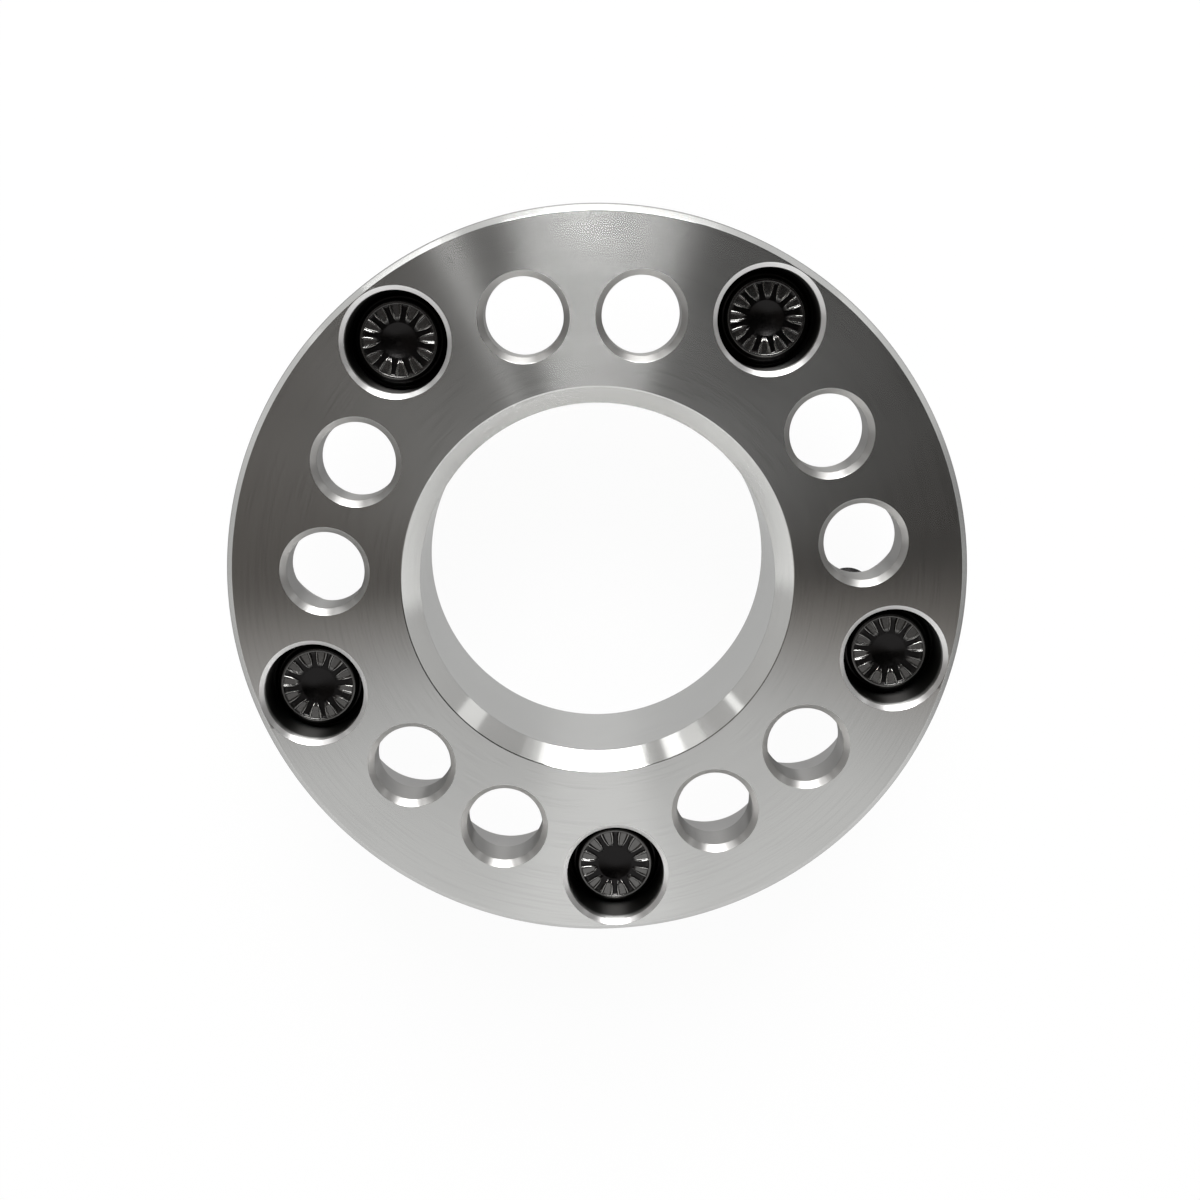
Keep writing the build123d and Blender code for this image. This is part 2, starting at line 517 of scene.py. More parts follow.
def cutting_marks(tree, ring):
    """Marks of a cutting tool going round the axis of its cut: their direction and their height."""
    axis = add(tree, "ShaderNodeAttribute", attribute_name="bore_axis", attribute_type="GEOMETRY")
    place = add(tree, "ShaderNodeTexCoord").outputs["Object"]
    local = add(tree, "ShaderNodeVectorMath", {0: place, 1: axis.outputs["Vector"]}, operation="SUBTRACT")
    split = add(tree, "ShaderNodeSeparateXYZ", {0: local}).outputs
    flat = add(tree, "ShaderNodeCombineXYZ", {"X": split["X"], "Y": split["Y"]})
    radius = add(tree, "ShaderNodeVectorMath", {0: flat}, operation="LENGTH").outputs["Value"]
    outward = add(tree, "ShaderNodeVectorMath", {0: flat}, operation="NORMALIZE")
    along = add(tree, "ShaderNodeVectorMath", {0: (0, 0, 1), 1: outward}, operation="CROSS_PRODUCT")
    # A place measured across the marks in millimetres, and along them on a ring
    across = add(tree, "ShaderNodeMath", {0: radius, 1: split["Z"]}, operation="ADD")
    across_mm = add(tree, "ShaderNodeMath", {0: across, 1: 1 / MM}, operation="MULTIPLY")
    on_ring = add(tree, "ShaderNodeVectorMath", {0: outward, "Scale": ring}, operation="SCALE")
    ring_split = add(tree, "ShaderNodeSeparateXYZ", {0: on_ring}).outputs
    mark_place = add(
        tree, "ShaderNodeCombineXYZ", {"X": ring_split["X"], "Y": ring_split["Y"], "Z": across_mm}
    )
    # Tool marks are 0.1 to 0.2 mm apart on the real face; 0.3 mm is the finest that shows here
    marks = add(
        tree, "ShaderNodeTexNoise", {"Vector": mark_place, "Scale": 3.6, "Detail": 1.0, "Roughness": 0.5}
    )
    return along.outputs[0], marks.outputs["Fac"]


def turned_aluminium():
    """Aluminium faced and bored on a lathe: satin, with concentric tool marks.

    The marks smear reflections across them, which gives the bright wedge that fans out from the bore, and
    they give its fine arcs.
    """
    material = bpy.data.materials.new("turned_aluminium")
    tree = shader_tree(material)
    along, marks = cutting_marks(tree, face_mark_ring)
    place = add(tree, "ShaderNodeTexCoord").outputs["Object"]
    # Handling leaves faint clouds about 20 mm wide
    clouds = add(tree, "ShaderNodeTexNoise", {"Vector": place, "Scale": 45.0, "Detail": 1.0})
    rough = add(
        tree, "ShaderNodeMapRange",
        {"Value": marks, "From Min": 0.32, "From Max": 0.52, "To Min": 0.15, "To Max": 0.156},
    )
    clouded = add(
        tree, "ShaderNodeMath", {0: clouds.outputs["Fac"], 1: 0.035, 2: rough}, operation="MULTIPLY_ADD"
    )
    # A few marks are deeper and darker than the rest
    streaks = add(
        tree, "ShaderNodeMapRange",
        {"Value": marks, "From Min": 0.32, "From Max": 0.5, "To Min": 0.35, "To Max": 0.67},
    )
    clean = add(
        tree, "ShaderNodeMix", {"Factor": streaks, "A": linear("D5D5D3"), "B": linear("E5E5E3")},
        data_type="RGBA",
    )
    # The nicks are dark specks, drawn as flattened spots
    nicked = 0.0
    for across, up, length, turn in face_nicks:
        nick_place = add(
            tree, "ShaderNodeMapping",
            {"Vector": place, "Location": (across * MM, up * MM, thickness * MM),
             "Rotation": (0.0, 0.0, math.radians(turn)), "Scale": (length / 2 * MM, nick_width / 2 * MM, MM)},
            vector_type="TEXTURE",
        )
        from_nick = add(tree, "ShaderNodeVectorMath", {0: nick_place}, operation="LENGTH").outputs["Value"]
        inside = add(
            tree, "ShaderNodeMapRange",
            {"Value": from_nick, "From Min": 0.3, "From Max": 1.2, "To Min": 0.75, "To Max": 0.0},
        )
        nicked = add(tree, "ShaderNodeMath", {0: inside, 1: nicked}, operation="MAXIMUM")
    colour = add(
        tree, "ShaderNodeMix", {"Factor": nicked, "A": clean.outputs["Result"], "B": linear("4A4846")},
        data_type="RGBA",
    )
    # Painted shade: the stud pockets' walls are painted near black below their mouths, where shade falls,
    # fading towards the mouth
    in_pocket = add(
        tree, "ShaderNodeAttribute", attribute_name="in_stud_pocket", attribute_type="GEOMETRY"
    ).outputs["Fac"]
    height = add(tree, "ShaderNodeSeparateXYZ", {0: place}).outputs["Z"]
    pocket_shade = add(
        tree, "ShaderNodeMapRange",
        {"Value": height, "From Min": (thickness - pocket_shade_full_depth) * MM,
         "From Max": (thickness - pocket_shade_faint_depth) * MM, "To Min": 0.975, "To Max": 0.3},
    )
    pocket_shade_mask = add(tree, "ShaderNodeMath", {0: in_pocket, 1: pocket_shade}, operation="MULTIPLY")
    shaded_colour = add(
        tree, "ShaderNodeMix", {"Factor": pocket_shade_mask, "A": colour.outputs["Result"], "B": linear("1C1B1A")},
        data_type="RGBA",
    )
    # The pockets are bored rougher than the faces, which lets their walls lighten softly towards the mouth
    bored = add(tree, "ShaderNodeMath", {0: in_pocket, 1: 0.25, 2: clouded}, operation="MULTIPLY_ADD")
    bump = add(tree, "ShaderNodeBump", {"Height": marks, "Strength": 0.01, "Distance": mark_depth * MM})
    metal = add(
        tree, "ShaderNodeBsdfPrincipled",
        {"Base Color": shaded_colour.outputs["Result"], "Metallic": 1.0, "Roughness": bored, "Anisotropic": 1.0,
         "Anisotropic Rotation": 0.25, "Tangent": along, "Normal": bump},
    )
    add(tree, "ShaderNodeOutputMaterial", {"Surface": metal})
    return material


def drilled_aluminium():
    """Aluminium cut by a drill and a countersink: duller than the faces, with soft highlights on its rims."""
    material = bpy.data.materials.new("drilled_aluminium")
    tree = shader_tree(material)
    along, marks = cutting_marks(tree, hole_mark_ring)
    # Painted shade: the hub holes are painted greyer than the rims of the stud pockets, for the shade that
    # falls in them, and their nut pockets less so
    hole_shade = add(tree, "ShaderNodeAttribute", attribute_name="drilled_through", attribute_type="GEOMETRY")
    colour = add(
        tree, "ShaderNodeMix",
        {"Factor": hole_shade.outputs["Fac"], "A": linear("EAE9E8"), "B": linear("C4C3C1")}, data_type="RGBA",
    )
    rough = add(
        tree, "ShaderNodeMapRange",
        {"Value": marks, "From Min": 0.3, "From Max": 0.7, "To Min": 0.3, "To Max": 0.34},
    )
    bump = add(tree, "ShaderNodeBump", {"Height": marks, "Strength": 0.01, "Distance": mark_depth * MM})
    metal = add(
        tree, "ShaderNodeBsdfPrincipled",
        {"Base Color": colour.outputs["Result"], "Metallic": 1.0, "Roughness": rough, "Anisotropic": 0.8,
         "Anisotropic Rotation": 0.25, "Tangent": along, "Normal": bump},
    )
    add(tree, "ShaderNodeOutputMaterial", {"Surface": metal})
    return material


def black_steel():
    """Forged steel under a glossy black coating: near black, with a painted grey sheen on the raised ribs."""
    material = bpy.data.materials.new("black_coated_steel")
    tree = shader_tree(material)
    place = add(tree, "ShaderNodeTexCoord").outputs["Object"]
    own = add(
        tree, "ShaderNodeAttribute", attribute_name="own_place", attribute_type="GEOMETRY"
    ).outputs["Vector"]
    height = add(tree, "ShaderNodeSeparateXYZ", {0: own}).outputs["Z"]
    # Painted sheen: the higher a point stands on the head, the lighter grey it is painted
    raised = add(
        tree, "ShaderNodeMapRange",
        {"Value": height, "From Min": (head_top - sheen_start_depth) * MM,
         "From Max": (head_top - sheen_full_depth) * MM, "To Min": 0.0, "To Max": 1.0},
    )
    # Painted sheen: the crown's rim is painted with less of the grey sheen than the ribs inside it
    flat = add(tree, "ShaderNodeVectorMath", {0: own, 1: (1, 1, 0)}, operation="MULTIPLY")
    from_axis = add(tree, "ShaderNodeVectorMath", {0: flat}, operation="LENGTH").outputs["Value"]
    off_rim = add(
        tree, "ShaderNodeMapRange",
        {"Value": from_axis, "From Min": (relief_radius - sheen_fade_width) * MM,
         "From Max": relief_radius * MM, "To Min": 1.0, "To Max": 0.35},
    )
    painted_sheen = add(tree, "ShaderNodeMath", {0: raised, 1: off_rim}, operation="MULTIPLY")
    colour = add(
        tree, "ShaderNodeMix", {"Factor": painted_sheen, "A": linear("2B2A2A"), "B": linear("A3A2A0")},
        data_type="RGBA",
    )
    # Forging scale, about 0.4 mm across
    scale = add(
        tree, "ShaderNodeTexNoise", {"Vector": place, "Scale": 2500.0, "Detail": 3.0, "Roughness": 0.6}
    ).outputs["Fac"]
    rough = add(
        tree, "ShaderNodeMapRange",
        {"Value": scale, "From Min": 0.3, "From Max": 0.7, "To Min": 0.15, "To Max": 0.27},
    )
    bump = add(tree, "ShaderNodeBump", {"Height": scale, "Strength": 0.25, "Distance": scale_depth * MM})
    metal = add(
        tree, "ShaderNodeBsdfPrincipled",
        {"Base Color": colour.outputs["Result"], "Metallic": 1.0, "Roughness": rough, "Normal": bump},
    )
    add(tree, "ShaderNodeOutputMaterial", {"Surface": metal})
    return material


# The disc


def blank():
    """The turned disc before drilling."""
    return turned(
        "blank",
        [
            (bore_radius + edge_break, 0, cut_edge),
            (outer_radius - rim_chamfer, 0, cut_edge),
            (outer_radius, rim_chamfer, rim_edge),
            (outer_radius, thickness - rim_chamfer, rim_edge),
            (outer_radius - rim_chamfer, thickness, cut_edge),
            (bore_radius + bore_chamfer, thickness, bore_edge),
            (bore_radius, thickness - bore_chamfer, cut_edge),
            (bore_radius, edge_break, cut_edge),
        ],
        disc_steps,
    )


def hole_tool(name, lower_radius, wall, upper_radius):
    """The tool for a hole, from its outline between the two faces; its mouths are eased past the faces."""
    return turned(
        name,
        [
            (0, -overrun, 0),
            (lower_radius + mouth_run, -overrun, 0),
            (lower_radius + mouth_run, -mouth_rise, 0),
            (lower_radius, 0, cut_edge),
            *wall,
            (upper_radius, thickness, cut_edge),
            (upper_radius + mouth_run, thickness + mouth_rise, 0),
            (upper_radius + mouth_run, thickness + overrun, 0),
            (0, thickness + overrun, 0),
        ],
        hole_steps,
    )


def hub_hole():
    """The tool for a hub hole: nut pocket, conical seat, hole and mouth chamfer."""
    return hole_tool(
        "hub_hole",
        nut_pocket_radius + edge_break,
        [
            (nut_pocket_radius, edge_break, cut_edge),
            (nut_pocket_radius, nut_pocket_top, cut_edge),
            (hub_hole_radius + nut_seat_width, nut_pocket_top, cut_edge),
            (hub_hole_radius, nut_seat_top, cut_edge),
            (hub_hole_radius, thickness - hub_hole_chamfer_depth, cut_edge),
        ],
        hub_hole_radius + hub_hole_chamfer,
    )


def stud_seat():
    """The tool for a stud's seat: press hole from the wheel face, head pocket from the hub face."""
    return hole_tool(
        "stud_seat",
        stud_hole_radius + edge_break,
        [
            (stud_hole_radius, edge_break, cut_edge),
            (stud_hole_radius, head_seat, 0),
            (head_pocket_radius, head_seat, soft_edge),
            (head_pocket_radius, thickness - head_pocket_chamfer_depth, cut_edge),
        ],
        head_pocket_radius + head_pocket_chamfer,
    )


def round_places(circle_radius, first_angle):
    """Centres of a bolt circle's holes, in metres."""
    places = []
    for number in range(stations):
        angle = math.radians(first_angle + 360 / stations * number)
        places.append(Vector((math.cos(angle), math.sin(angle), 0)) * circle_radius * MM)
    return places


def mark_cuts(mesh, turned_finish, drilled_finish):
    """Write on each face the axis that it was cut about, and give drilled faces their own finish."""
    face_tolerance = 0.02
    seat_tolerance = 0.1
    level_enough = 0.99
    nut_pocket_shade_share = 0.3
    hub_hole_reach = (nut_pocket_radius + edge_break + mouth_run) * MM
    stud_seat_reach = (head_pocket_radius + head_pocket_chamfer + mouth_run / 2) * MM
    hub_holes = round_places(wide_circle_radius, wide_first_angle)
    hub_holes += round_places(narrow_circle_radius, narrow_first_angle)
    cuts = [(place, hub_hole_reach, True) for place in hub_holes]
    cuts += [(place, stud_seat_reach, False) for place in round_places(stud_circle_radius, stud_first_angle)]
    axes = []
    hole_shade = []
    in_pocket = []
    finishes = []
    for face in mesh.polygons:
        height = face.center.z
        on_face = height > (thickness - face_tolerance) * MM or height < face_tolerance * MM
        flat = Vector((face.center.x, face.center.y, 0))
        place, reach, is_hub_hole = min(cuts, key=lambda cut: (cut[0] - flat).length)
        if (place - flat).length > reach or (on_face and abs(face.normal.z) > level_enough):
            axes.extend((0.0, 0.0, 0.0))
            hole_shade.append(0.0)
            in_pocket.append(0.0)
            finishes.append(0)
            continue
        axes.extend(place)
        # Painted shade: hub hole faces take a share of painted shade, full in the hole and less in the nut
        # pocket; stud pockets get the mask that their painted shade and rougher walls use
        if is_hub_hole:
            hole_shade.append(1.0 if height > nut_pocket_top * MM else nut_pocket_shade_share)
            in_pocket.append(0.0)
            finishes.append(1)
        else:
            hole_shade.append(0.0)
            in_pocket.append(0.0 if height < (head_seat - seat_tolerance) * MM else 1.0)
            finishes.append(1 if height > (thickness - head_pocket_chamfer_depth) * MM else 0)
    mesh.materials.clear()
    mesh.materials.append(turned_finish)
    mesh.materials.append(drilled_finish)
    mesh.polygons.foreach_set("material_index", finishes)
    mesh.attributes.new("bore_axis", "FLOAT_VECTOR", "FACE").data.foreach_set("vector", axes)
    mesh.attributes.new("drilled_through", "FLOAT", "FACE").data.foreach_set("value", hole_shade)
    mesh.attributes.new("in_stud_pocket", "FLOAT", "FACE").data.foreach_set("value", in_pocket)


def spacer_body(cut_round, turned_finish, drilled_finish):
    """The disc: turned, then drilled on three bolt circles."""
    mesh = blank()
    hole = hub_hole()
    for tool_mesh, circle_radius, first_angle in (
        (hole, wide_circle_radius, wide_first_angle),
        (hole, narrow_circle_radius, narrow_first_angle),
        (stud_seat(), stud_circle_radius, stud_first_angle),
    ):
        mesh = repeat_round(mesh, cut_round, tool_mesh, turned_finish, stations, circle_radius, first_angle)
    mesh = finish_shading(mesh, disc_sharp_angle)
    mark_cuts(mesh, turned_finish, drilled_finish)
    mesh.name = "spacer_body_turned"
    return mesh_object("turned_disc", mesh)


# The studs


def head_and_neck():
    """The stud's forging before its thread, splines and ribs."""
    shoulder = head_seat + flange_height
    dish_curve = (dish_radius ** 2 + dish_depth ** 2) / (2 * dish_depth)
    dish = []
    for step in range(1, dish_steps):
        across = dish_radius * step / dish_steps
        up = relief_floor - dish_depth + dish_curve - math.sqrt(dish_curve ** 2 - across ** 2)
        dish.append((across, up, 0))
    return turned(
        "forging",
        [
            (0, thread_stop, 0),
            (thread_radius, thread_stop, 0),
            (thread_radius, spline_bottom, soft_edge),
            (spline_radius - spline_lead, spline_bottom, cut_edge),
            (spline_radius, spline_bottom + spline_lead, cut_edge),
            (spline_radius, head_seat, 0),
            (head_radius, head_seat, cut_edge),
            (head_radius, shoulder - flange_chamfer, soft_edge),
            (head_radius - flange_chamfer, shoulder, soft_edge),
            (crown_radius, shoulder, soft_edge),
            (crown_radius, head_top, crown_round),
            (relief_radius, head_top, cut_edge),
            (relief_radius - relief_slope_run, relief_floor + relief_slope_rise, soft_edge),
            (dish_radius, relief_floor, soft_edge),
            *reversed(dish),
            (0, relief_floor - dish_depth, 0),
        ],
        hole_steps,
    )


def spline_cutter():
    """One V groove of the splined neck, as a long three-sided bar with its edge on the axis side."""
    build = bmesh.new()
    low = (spline_bottom - groove_run_below) * MM
    high = (head_seat - groove_gap_above) * MM
    half = spline_radius * math.pi / spline_teeth * groove_share
    corners = [(-groove_depth, 0.0), (groove_mouth, half), (groove_mouth, -half)]
    bottom = [build.verts.new((x * MM, y * MM, low)) for x, y in corners]
    top = [build.verts.new((x * MM, y * MM, high)) for x, y in corners]
    build.faces.new(bottom)
    build.faces.new(top)
    for number in range(len(corners)):
        after = (number + 1) % len(corners)
        build.faces.new((bottom[number], bottom[after], top[after], top[number]))
    return built_mesh("spline_cutter", build)


def soft(share):
    """Ease a share from 0 to 1, level at both ends."""
    return share * share * (3 - 2 * share)


def rib():
    """One forged rib along X, centred on its length: a pointed arch with two soft crests and a hollow."""
    build = bmesh.new()
    rows = []
    for i in range(rib_long_steps + 1):
        u = i / rib_long_steps
        x = (u - 0.5) * rib_length
        end = min(1.0, u / rib_point)
        row = []
        for j in range(rib_cross_steps + 1):
            v = 2 * j / rib_cross_steps - 1
            flank = min(1.0, (1 - abs(v)) / rib_flank)
            dip = min(1.0, max(0.0, (rib_hollow_reach - abs(v)) / rib_hollow_slope))
            lift = soft(flank) * soft(end) - soft(dip) * rib_hollow * end
            y = v * rib_width / 2 * (rib_flare - (1 - u) ** 2)
            z = relief_floor - rib_foot + lift * rib_height
            row.append(build.verts.new((x * MM, y * MM, z * MM)))
        rows.append(row)
    root = (relief_floor - rib_root) * MM
    bottom = []
    for row in rows:
        bottom.append([build.verts.new((vertex.co.x, vertex.co.y, root)) for vertex in (row[0], row[-1])])
    for i in range(rib_long_steps):
        for j in range(rib_cross_steps):
            build.faces.new((rows[i][j], rows[i + 1][j], rows[i + 1][j + 1], rows[i][j + 1]))
        build.faces.new((bottom[i][0], bottom[i][1], bottom[i + 1][1], bottom[i + 1][0]))
        build.faces.new((rows[i][0], bottom[i][0], bottom[i + 1][0], rows[i + 1][0]))
        build.faces.new((rows[i][-1], rows[i + 1][-1], bottom[i + 1][1], bottom[i][1]))
    build.faces.new([bottom[0][0], *rows[0], bottom[0][1]])
    build.faces.new([bottom[-1][1], *reversed(rows[-1]), bottom[-1][0]])
    return built_mesh("rib", build)


def closed_thread(finish):
    """The threaded end, with its two ends closed."""
    mesh = run_tree(
        bpy.data.meshes.new("thread"), rolled_thread_tree(),
        bottom=-stud_projection * MM, stop=thread_stop * MM, top=(thread_stop + neck_overlap) * MM,
        crest_radius=thread_radius * MM, depth=thread_depth * MM,
        pitch=thread_pitch * MM, neck_radius=(thread_radius - neck_step) * MM, tip_chamfer=tip_chamfer * MM,
        rows_per_turn=thread_rows, steps_round=thread_steps, finish=finish,
    )
    build = bmesh.new()
    build.from_mesh(mesh)
    bmesh.ops.remove_doubles(build, verts=build.verts, dist=same_point)
    bmesh.ops.dissolve_degenerate(build, edges=build.edges, dist=no_edge)
    bmesh.ops.holes_fill(build, edges=[edge for edge in build.edges if edge.is_boundary], sides=0)
    bmesh.ops.recalc_face_normals(build, faces=build.faces)
    build.to_mesh(mesh)
    build.free()
    return mesh


def wheel_stud_mesh(cut_round, finish):
    """One stud on the bore's axis: thread, splined neck and ribbed head."""
    join_round = repeat_round_tree("join_round_axis", "UNION")
    mesh = head_and_neck()
    mesh = repeat_round(mesh, cut_round, spline_cutter(), finish, spline_teeth, spline_radius)
    mesh = repeat_round(
        mesh, join_round, rib(), finish, rib_count, (relief_radius + dish_radius) / 2,
        turn_spread=rib_turn_spread, size_spread=rib_size_spread, seed=rib_seed,
    )
    mesh = repeat_round(mesh, join_round, closed_thread(finish), finish)
    return finish_shading(mesh, stud_sharp_angle)


def wheel_studs(cut_round, finish):
    """Five studs, pressed home, each with its head turned as it happened to go in."""
    pattern = wheel_stud_mesh(cut_round, finish)
    own_place = pattern.attributes.new("own_place", "FLOAT_VECTOR", "POINT")
    for vertex in pattern.vertices:
        own_place.data[vertex.index].vector = vertex.co
    studs = []
    for number, place in enumerate(round_places(stud_circle_radius, stud_first_angle)):
        mesh = pattern.copy()
        mesh.transform(Matrix.Translation(place) @ Matrix.Rotation(math.radians(head_turns[number]), 4, "Z"))
        mesh.name = f"wheel_stud_{number + 1}_forged"
        studs.append(mesh_object(f"forged_stud_{number + 1}", mesh))
    return studs


# Studio

# The camera as fitted to the photograph: its place and lens in millimetres, its turn in degrees
camera_place = (1.447, 71.298, 376.077)
camera_turn = (-12.235283, -0.540939, -3.418332)
camera_lens = 51.4
camera_sensor = 36

# The table: its radius in metres, and how bright it is painted in mirrors by distance from the axis in
# millimetres, a painted shadow of the disc
table_radius = 6
table_levels = ((30, 0.57), (39, 0.3), (50, 0.42), (66, 0.42), (80, 0.12), (100, 0.12))
table_side_turn = 12

# Its level in mirrors farther out, and the shares of the outer radius at which that starts and is full
table_far_level = 0.69
table_far_start = 1.3
table_far_full = 2.8

# The room: the slope at which the disc's middle mirrors to the camera, and how its lit front stands
mirror_slope = 0.207
front_turn = 4.5
front_full_angle = 45
front_last_angle = 101
front_level = 0.76

# How far off the softboxes stand, in metres
softbox_distance = 1.5
near_distance = 0.3

# Softboxes: name, bearing clockwise from +Y, width, lower edge and upper edge in degrees, brightness.
# The first two light the wedges on the face, and the low ones draw the bars on the chamfers.
softboxes = (
    ("tall_softbox", 4.4, 36, 32, 62, 20.0),
    ("high_side_softbox", -55, 9, 82, 83.2, 11.0, near_distance),
    ("low_softbox", 10, 32, 4, 27, 1.15),
    ("low_softbox_edge", 10, 38, 4, 27, 0.4),
    ("low_surround", 10, 45, 1, 29, 0.2),
    ("low_side_softbox", -25.5, 7, 3, 27, 0.95),
    ("low_side_surround", -29.5, 16, 3, 27, 0.4),
    ("table_end_glow", -33, 16, 0, 5, 2.2),
    ("left_strip", -53, 3, 4, 24, 1.0),
    ("right_strip", 55, 9, 4, 24, 0.6),
)


def studio_camera():
    """A camera above the hub face, tilted 12 degrees, at the photograph's distance and lens."""
    data = bpy.data.cameras.new("camera")
    data.sensor_width = camera_sensor
    data.lens = camera_lens
    camera = bpy.data.objects.new("camera", data)
    turn = Euler([math.radians(angle) for angle in camera_turn])
    camera.matrix_world = Matrix.LocRotScale(Vector(camera_place) * MM, turn, None)
    bpy.context.scene.collection.objects.link(camera)
    bpy.context.scene.camera = camera


def white_table():
    """Matt white paint that glows to the camera and in mirrors, but takes a soft shadow from the lamps."""
    material = bpy.data.materials.new("white_table")
    tree = shader_tree(material)
    path = add(tree, "ShaderNodeLightPath").outputs
    mirrored = add(
        tree, "ShaderNodeMath", {0: path["Is Glossy Ray"], 1: path["Is Transmission Ray"]},
        operation="MAXIMUM",
    )
    place = add(tree, "ShaderNodeTexCoord").outputs["Object"]
    flat = add(tree, "ShaderNodeVectorMath", {0: place, 1: (1, 1, 0)}, operation="MULTIPLY")
    from_axis = add(tree, "ShaderNodeVectorMath", {0: flat}, operation="LENGTH").outputs["Value"]
    # Painted shadow: in mirrors the table is painted bright under the bore and darkest just outside the disc,
    # where the disc's shadow falls
    far = 4 * outer_radius
    reach = add(tree, "ShaderNodeMath", {0: from_axis, 1: far * MM}, operation="DIVIDE")
    under = add(tree, "ShaderNodeValToRGB", {"Fac": reach})
    for distance, level in table_levels:
        stop = under.color_ramp.elements.new(distance / far)
        stop.color = (level, level, level, 1.0)
    under.color_ramp.elements.remove(under.color_ramp.elements[0])
    under.color_ramp.elements.remove(under.color_ramp.elements[-1])
    # Painted shade: towards its sides the table is painted darker in mirrors, more so on the right than on
    # the left
    outward = add(tree, "ShaderNodeVectorMath", {0: flat}, operation="NORMALIZE")
    either_side = add(tree, "ShaderNodeVectorMath", {0: outward}, operation="ABSOLUTE")
    split = add(tree, "ShaderNodeSeparateXYZ", {0: outward}).outputs
    side = add(tree, "ShaderNodeSeparateXYZ", {0: either_side}).outputs["X"]
    side_turn = math.radians(table_side_turn)
    ahead = add(tree, "ShaderNodeMath", {0: split["Y"], 1: -math.sin(side_turn)}, operation="MULTIPLY")
    sideways = add(
        tree, "ShaderNodeMath", {0: side, 1: math.cos(side_turn), 2: ahead}, operation="MULTIPLY_ADD"
    )
    end_depth = add(
        tree, "ShaderNodeMapRange",
        {"Value": split["X"], "From Min": -1.0, "From Max": 1.0, "To Min": 0.2, "To Max": 0.44},
    )
    ended = add(
        tree, "ShaderNodeMapRange",
        {"Value": sideways, "From Min": 0.85, "From Max": 0.99, "To Min": 0.0, "To Max": end_depth},
        interpolation_type="SMOOTHSTEP",
    )
    table_level = add(tree, "ShaderNodeMath", {0: table_far_level, 1: ended}, operation="SUBTRACT")
    beyond = add(
        tree, "ShaderNodeMapRange",
        {"Value": from_axis, "From Min": table_far_start * outer_radius * MM,
         "From Max": table_far_full * outer_radius * MM, "To Min": 0.0, "To Max": table_level},
        interpolation_type="SMOOTHSTEP",
    )
    mirrored_level = add(tree, "ShaderNodeMath", {0: under, 1: beyond}, operation="MAXIMUM")
    strength = add(
        tree, "ShaderNodeMix", {"Factor": mirrored, "A": 1.0, "B": mirrored_level}, data_type="FLOAT"
    )
    paint = add(tree, "ShaderNodeBsdfDiffuse", {"Color": linear("E6E6E6")})
    glow = add(tree, "ShaderNodeEmission", {"Color": linear("FFFFFF"), "Strength": strength})
    seen_share = add(tree, "ShaderNodeMath", {0: path["Is Camera Ray"], 1: 0.96}, operation="MULTIPLY")
    share = add(tree, "ShaderNodeMath", {0: mirrored, 1: seen_share}, operation="MAXIMUM")
    mixed = add(tree, "ShaderNodeMixShader", {0: share, 1: paint, 2: glow})
    add(tree, "ShaderNodeOutputMaterial", {"Surface": mixed})
    return material


def studio_floor():
    """A round white table under the tips of the studs."""
    build = bmesh.new()
    bmesh.ops.create_circle(build, cap_ends=True, segments=64, radius=table_radius)
    bmesh.ops.translate(build, verts=build.verts, vec=(0, 0, -stud_projection * MM))
    mesh = bpy.data.meshes.new("studio_floor")
    build.to_mesh(mesh)
    build.free()
    mesh.materials.append(white_table())
    mesh_object("studio_floor", mesh)


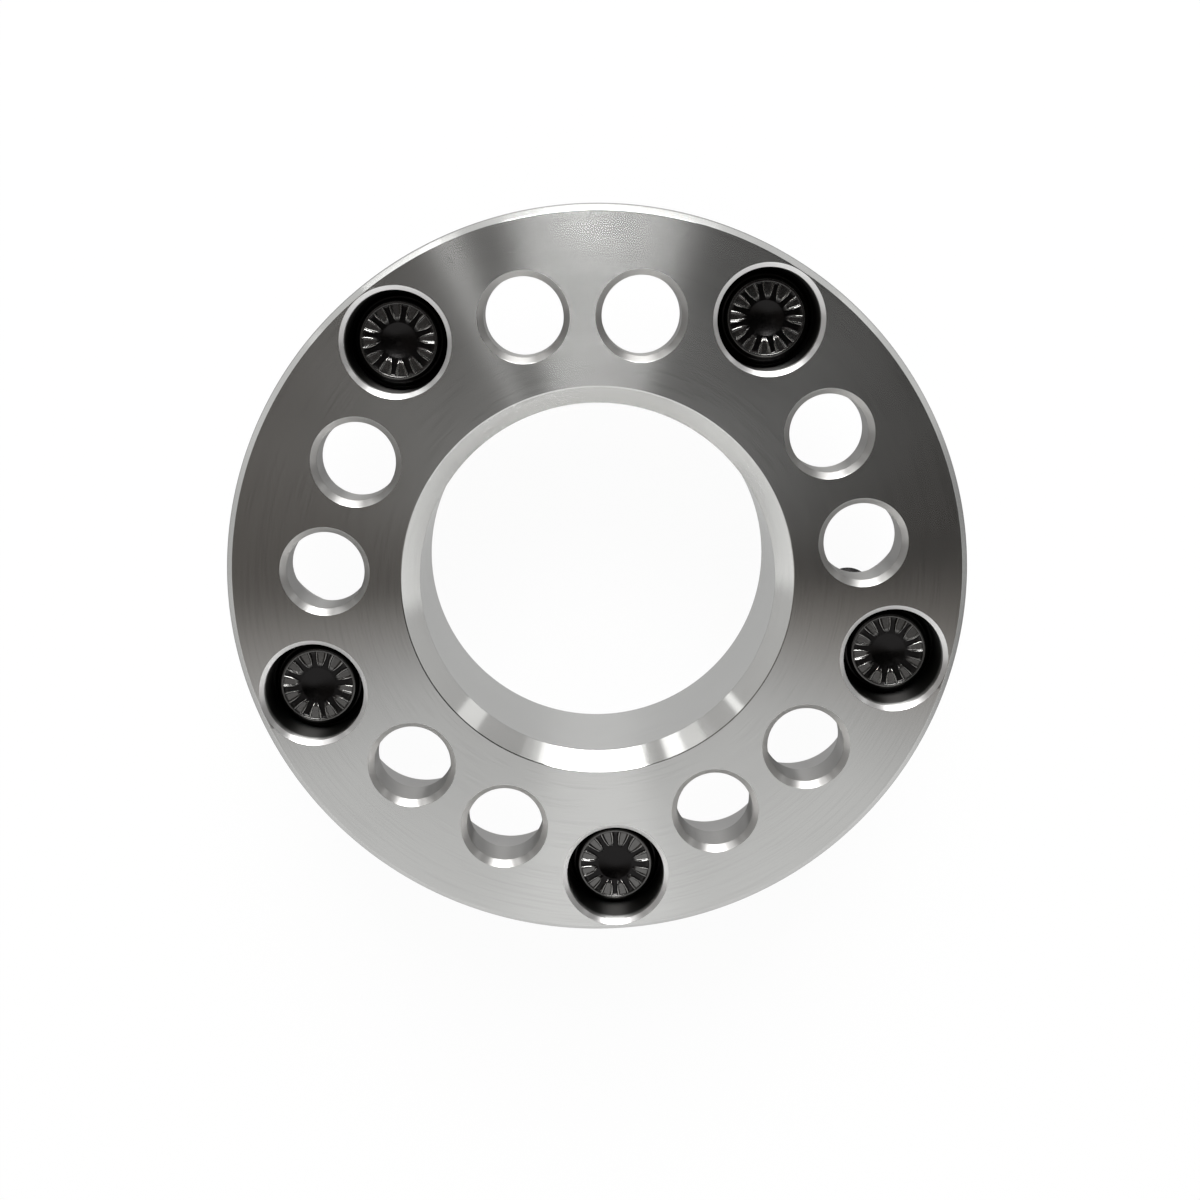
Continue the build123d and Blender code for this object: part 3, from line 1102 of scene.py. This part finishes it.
def studio_world():
    """A pale studio with the dark of the room over the camera, and a white backdrop."""
    world = bpy.data.worlds.new("studio")
    bpy.context.scene.world = world
    tree = shader_tree(world)
    place = add(tree, "ShaderNodeTexCoord").outputs["Generated"]
    split = add(tree, "ShaderNodeSeparateXYZ", {0: place}).outputs
    height = add(tree, "ShaderNodeMath", {0: split["Z"], 1: 0.05}, operation="MAXIMUM")
    # Slopes away from straight up, measured from the spot that the disc's middle mirrors to the camera
    side = add(tree, "ShaderNodeMath", {0: split["X"], 1: height}, operation="DIVIDE")
    fore = add(tree, "ShaderNodeMath", {0: split["Y"], 1: height}, operation="DIVIDE")
    fore_from = add(tree, "ShaderNodeMath", {0: fore, 1: mirror_slope}, operation="ADD")
    fore_back = add(tree, "ShaderNodeMath", {0: fore_from, 1: -1.0}, operation="MULTIPLY")
    # The front of the room is lit as a sector round that spot
    turn = add(tree, "ShaderNodeMath", {0: side, 1: fore_back}, operation="ARCTAN2")
    turned_left = add(tree, "ShaderNodeMath", {0: turn, 1: math.radians(front_turn)}, operation="ADD")
    swing = add(tree, "ShaderNodeMath", {0: turned_left}, operation="ABSOLUTE")
    front = add(
        tree, "ShaderNodeMapRange",
        {"Value": swing, "From Min": math.radians(front_full_angle),
         "From Max": math.radians(front_last_angle), "To Min": 1.0, "To Max": 0.0},
        interpolation_type="SMOOTHSTEP",
    )
    edge = add(
        tree, "ShaderNodeMapRange",
        {"Value": fore_back, "From Min": 0.0, "From Max": 0.03, "To Min": 0.0, "To Max": 1.0},
        interpolation_type="SMOOTHSTEP",
    )
    lit = add(tree, "ShaderNodeMath", {0: front, 1: edge}, operation="MULTIPLY")
    room = add(
        tree, "ShaderNodeMapRange",
        {"Value": split["X"], "From Min": -0.3, "From Max": -0.03, "To Min": 0.125, "To Max": 0.015},
    )
    upper = add(tree, "ShaderNodeMix", {"Factor": lit, "A": room, "B": front_level}, data_type="FLOAT")
    # Towards the horizon the room is bright all round, and brightest at its front
    horizon = add(
        tree, "ShaderNodeMapRange",
        {"Value": split["Y"], "From Min": -0.2, "From Max": -0.05, "To Min": 1.15, "To Max": 0.72},
        interpolation_type="SMOOTHSTEP",
    )
    low = add(
        tree, "ShaderNodeMapRange",
        {"Value": split["Z"], "From Min": 0.25, "From Max": 0.45, "To Min": 1.0, "To Max": 0.0},
        interpolation_type="SMOOTHSTEP",
    )
    level = add(tree, "ShaderNodeMix", {"Factor": low, "A": upper, "B": horizon}, data_type="FLOAT")
    # The dark parts are a little warm
    whiteness = add(
        tree, "ShaderNodeMapRange",
        {"Value": level, "From Min": 0.0, "From Max": 0.6, "To Min": 0.0, "To Max": 1.0},
    )
    tint = add(
        tree, "ShaderNodeMix", {"Factor": whiteness, "A": linear("FFF3E8"), "B": linear("FFFFFF")},
        data_type="RGBA",
    )
    glow = add(tree, "ShaderNodeBackground", {"Color": tint.outputs["Result"], "Strength": level})
    # To the camera the backdrop is plain white on every side
    white = add(tree, "ShaderNodeBackground", {"Color": linear("FFFFFF"), "Strength": 1.0})
    to_camera = add(tree, "ShaderNodeLightPath").outputs["Is Camera Ray"]
    seen = add(tree, "ShaderNodeMixShader", {0: to_camera, 1: glow, 2: white})
    add(tree, "ShaderNodeOutputWorld", {"Surface": seen})


def softbox(name, bearing, wide, low, high, brightness, distance=softbox_distance):
    """An upright softbox that faces the disc's axis, unseen by the camera."""
    foot = distance * math.tan(math.radians(low))
    crown = distance * math.tan(math.radians(high))
    lamp = bpy.data.lights.new(name, "AREA")
    lamp.shape = "RECTANGLE"
    lamp.size = 2 * distance * math.tan(math.radians(wide / 2))
    lamp.size_y = crown - foot
    lamp.energy = brightness * lamp.size * lamp.size_y * math.pi
    box = bpy.data.objects.new(name, lamp)
    turn = math.radians(bearing)
    toward = Vector((math.sin(turn), math.cos(turn), 0))
    box.location = toward * distance + Vector((0, 0, (foot + crown) / 2))
    box.rotation_euler = toward.to_track_quat("Z", "Y").to_euler()
    box.visible_camera = False
    bpy.context.scene.collection.objects.link(box)


# Make it

studio_camera()
studio_floor()
studio_world()
for softbox_row in softboxes:
    softbox(*softbox_row)

cut_tree = repeat_round_tree("drill_bolt_circle", "DIFFERENCE")
disc = spacer_body(cut_tree, turned_aluminium(), drilled_aluminium())
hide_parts("spacer_body")
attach(disc, "root")

for number, stud in enumerate(wheel_studs(cut_tree, black_steel())):
    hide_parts(f"wheel_stud_{number + 1}")
    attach(stud, "root")

bpy.context.scene.view_settings.view_transform = "Standard"
